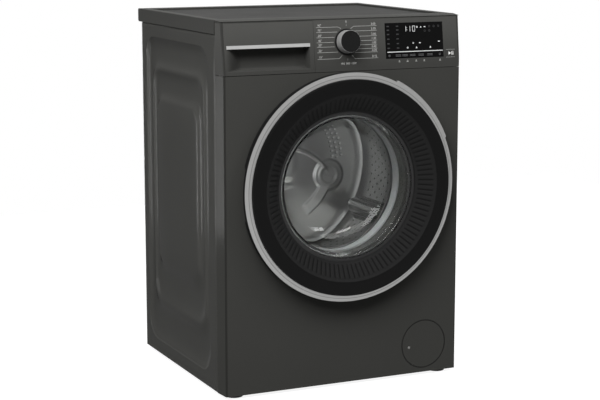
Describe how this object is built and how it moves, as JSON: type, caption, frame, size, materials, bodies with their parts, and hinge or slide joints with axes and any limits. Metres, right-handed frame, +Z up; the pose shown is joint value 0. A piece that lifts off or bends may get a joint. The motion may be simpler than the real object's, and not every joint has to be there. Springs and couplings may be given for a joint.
{
  "type": "front load washing machine",
  "caption": "Front load washing machine with a hinged round glass door, detergent drawer, programme knob and display, sprung tub with belt driven drum, drain pump and levelling feet.",
  "frame": {"origin": "floor under the centre of the bounding box", "axes": "+Z up, the door and controls face -Y, +X to the viewer's right"},
  "size_m": [0.6, 0.582, 0.85],
  "materials": {
    "body_paint": "semi-gloss dark warm grey enamel",
    "corner_paint": "semi-gloss dark grey enamel",
    "fascia_plastic": "satin dark grey moulding",
    "worktop_plastic": "fine textured dark grey moulding",
    "worktop_board": "grey laminate on particle board",
    "silver": "satin silver lacquer",
    "black_gloss": "piano black",
    "black_plastic": "black moulding",
    "display_glass": "black window",
    "door_glass": "clear pressed glass",
    "rubber_grey": "grey moulded rubber",
    "rubber_black": "black rubber",
    "drum_steel": "brushed stainless steel",
    "zinc_steel": "zinc plated steel",
    "cast_alloy": "die cast alloy",
    "concrete": "cast concrete",
    "white_plastic": "white moulding",
    "tub_plastic": "grey filled polypropylene",
    "blue_plastic": "blue moulding",
    "motor_iron": "stacked iron",
    "board_green": "circuit board",
    "brass_thread": "white valve body"
  },
  "bodies": {
    "cabinet": {"front_panel": "body_paint", "side_panel_left": "body_paint", "side_panel_right": "body_paint", "rear_panel": "zinc_steel", "rear_cover": "zinc_steel", "cabinet_screws": "zinc_steel", "transit_caps": "black_plastic", "inlet_valve": "brass_thread", "cord_gland": "black_plastic", "base_tray": "black_plastic", "control_panel": "fascia_plastic", "display_window": "display_glass", "control_board": "board_green", "worktop_frame": "worktop_plastic", "worktop_panel": "worktop_board", "worktop_rear_trim": "worktop_plastic", "dispenser_housing": "white_plastic", "hinge_bracket": "zinc_steel", "door_lock": "black_plastic", "door_gasket": "rubber_grey", "spring_beam": "zinc_steel", "suspension_springs": "zinc_steel", "damper_cylinders": "tub_plastic", "pump_housing": "white_plastic", "filter_flap_frame": "black_plastic", "sump_hose": "rubber_black", "drain_hose": "rubber_black"},
    "door": {"door_ring": "silver", "door_bezel": "black_gloss", "door_glass": "door_glass", "door_inner_frame": "black_plastic", "door_hinge_arm": "zinc_steel"},
    "latch": {"latch_hook": "zinc_steel"},
    "drawer": {"drawer_tray": "white_plastic", "softener_cap": "blue_plastic", "drawer_front": "fascia_plastic", "drawer_trim_bar": "silver"},
    "knob": {"programme_knob": "silver", "knob_cap": "black_plastic"},
    "key": {"start_key": "fascia_plastic"},
    "tub": {"tub_front": "tub_plastic", "tub_rear": "tub_plastic", "counterweights": "concrete", "drum_bearings": "zinc_steel", "heater": "zinc_steel", "motor_stator": "motor_iron", "drive_belt": "rubber_black", "damper_rods": "tub_plastic"},
    "drum": {"drum_shell": "drum_steel", "drum_back": "drum_steel", "drum_lifters": "tub_plastic", "drum_spider": "cast_alloy", "drum_pulley": "cast_alloy"},
    "rotor": {"motor_rotor": "motor_iron"},
    "flap": {"filter_flap": "fascia_plastic"},
    "filter": {"filter_cap": "blue_plastic"},
    "leg_front_left": {"foot_front_left": "rubber_black"},
    "leg_front_right": {"foot_front_right": "rubber_black"},
    "leg_rear_left": {"foot_rear_left": "rubber_black"},
    "leg_rear_right": {"foot_rear_right": "rubber_black"}
  },
  "joints": [
    {"name": "door_swing", "type": "hinge", "parent": "cabinet", "child": "door", "pos_m": [-0.248, -0.266, 0.469], "axis": [0, 0, -1], "range_deg": [0, 135]},
    {"name": "latch_turn", "type": "hinge", "parent": "door", "child": "latch", "pos_m": [0.206, -0.26, 0.469], "axis": [0, 0, 1], "range_deg": [0, 10], "stiffness_Nm_per_rad": 0.2, "springref_deg": -5.73},
    {"name": "drawer_slide", "type": "slide", "parent": "cabinet", "child": "drawer", "axis": [0, -1, 0], "range_m": [0, 0.2]},
    {"name": "knob_turn", "type": "hinge", "parent": "cabinet", "child": "knob", "pos_m": [0.006, -0.23782, 0.795], "axis": [0, -0.9924, 0.123], "continuous": true},
    {"name": "key_press", "type": "slide", "parent": "cabinet", "child": "key", "axis": [0, 0.9924, -0.123], "range_m": [0, 0.001], "stiffness_N_per_m": 600, "springref_m": -0.001},
    {"name": "tub_bounce", "type": "slide", "parent": "cabinet", "child": "tub", "axis": [0, 0, 1], "range_m": [-0.008, 0.008], "stiffness_N_per_m": 20000, "springref_m": 0.01648, "deforming": ["suspension_springs", "sump_hose", "door_gasket"]},
    {"name": "drum_spin", "type": "hinge", "parent": "tub", "child": "drum", "pos_m": [0, 0, 0.469], "axis": [0, 1, 0], "continuous": true},
    {"name": "rotor_spin", "type": "hinge", "parent": "tub", "child": "rotor", "pos_m": [0.13735, 0.1, 0.17445], "axis": [0, 1, 0], "continuous": true},
    {"name": "flap_swing", "type": "hinge", "parent": "cabinet", "child": "flap", "pos_m": [0.276, -0.242, 0.077], "axis": [0, 0, 1], "range_deg": [0, 90]},
    {"name": "filter_turn", "type": "hinge", "parent": "cabinet", "child": "filter", "pos_m": [0.2085, -0.22, 0.077], "axis": [0, 1, 0], "range_deg": [0, 90]},
    {"name": "front_left_level", "type": "slide", "parent": "cabinet", "child": "leg_front_left", "axis": [0, 0, 1], "range_m": [-0.015, 0]},
    {"name": "front_right_level", "type": "slide", "parent": "cabinet", "child": "leg_front_right", "axis": [0, 0, 1], "range_m": [-0.015, 0]},
    {"name": "rear_left_level", "type": "slide", "parent": "cabinet", "child": "leg_rear_left", "axis": [0, 0, 1], "range_m": [-0.015, 0]},
    {"name": "rear_right_level", "type": "slide", "parent": "cabinet", "child": "leg_rear_right", "axis": [0, 0, 1], "range_m": [-0.015, 0]}
  ],
  "couplings": [
    {"joint": "rotor_spin", "follows": "drum_spin", "ratio": 11.667}
  ]
}
